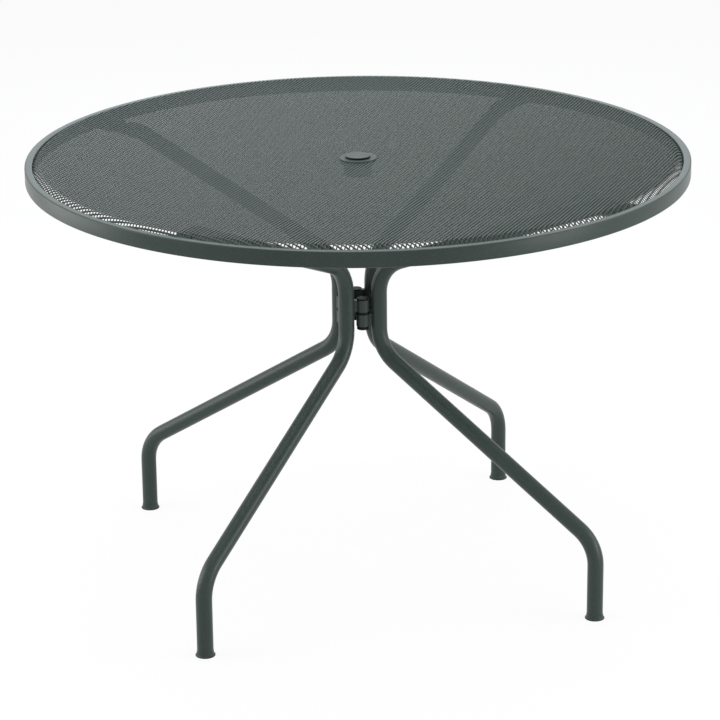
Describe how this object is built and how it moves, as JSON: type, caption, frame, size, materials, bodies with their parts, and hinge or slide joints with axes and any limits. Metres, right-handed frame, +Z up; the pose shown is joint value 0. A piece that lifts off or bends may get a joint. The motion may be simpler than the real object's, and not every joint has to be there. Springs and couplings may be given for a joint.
{
  "type": "umbrella table",
  "caption": "Round garden table with a dished mesh top in a tubular rim, a capped umbrella hole and bent-tube legs bolted together at a central hub.",
  "frame": {"origin": "on the floor, below the centre of the round top", "axes": "+Z up along the umbrella hole; the legs stand at 45, 135, 225 and 315 degrees round it, and the hub's bolt stacks at 0, 90, 180 and 270"},
  "size_m": [1.1498, 1.15, 0.767],
  "materials": {
    "powder_coat": "dark grey-green powder coat, satin, with a fine sparkle",
    "black_plastic": "black moulded plastic",
    "grey_plastic": "dark grey-green moulded plastic, satin",
    "plated_steel": "zinc-plated steel"
  },
  "bodies": {
    "table": {"rim_ring": "powder_coat", "mesh_panel": "powder_coat", "leg_tube_1": "powder_coat", "leg_tube_2": "powder_coat", "leg_tube_3": "powder_coat", "leg_tube_4": "powder_coat", "rim_tab_1": "powder_coat", "rim_tab_2": "powder_coat", "rim_tab_3": "powder_coat", "rim_tab_4": "powder_coat", "upper_knuckle_1": "powder_coat", "upper_knuckle_2": "powder_coat", "upper_knuckle_3": "powder_coat", "upper_knuckle_4": "powder_coat", "lower_knuckle_1": "powder_coat", "lower_knuckle_2": "powder_coat", "lower_knuckle_3": "powder_coat", "lower_knuckle_4": "powder_coat", "foot_glide_1": "black_plastic", "foot_glide_2": "black_plastic", "foot_glide_3": "black_plastic", "foot_glide_4": "black_plastic", "hub_washers": "black_plastic", "hub_top_caps": "black_plastic", "hub_base_caps": "black_plastic", "umbrella_ring": "grey_plastic", "ring_nut": "grey_plastic", "hub_bolts": "plated_steel", "hub_nuts": "plated_steel", "arm_screws": "plated_steel", "arm_nuts": "plated_steel"},
    "cap": {"hole_cap": "grey_plastic"}
  },
  "joints": [
    {"name": "cap_lift", "type": "slide", "parent": "table", "child": "cap", "axis": [0, 0, 1], "range_m": [0, 0.05]}
  ]
}
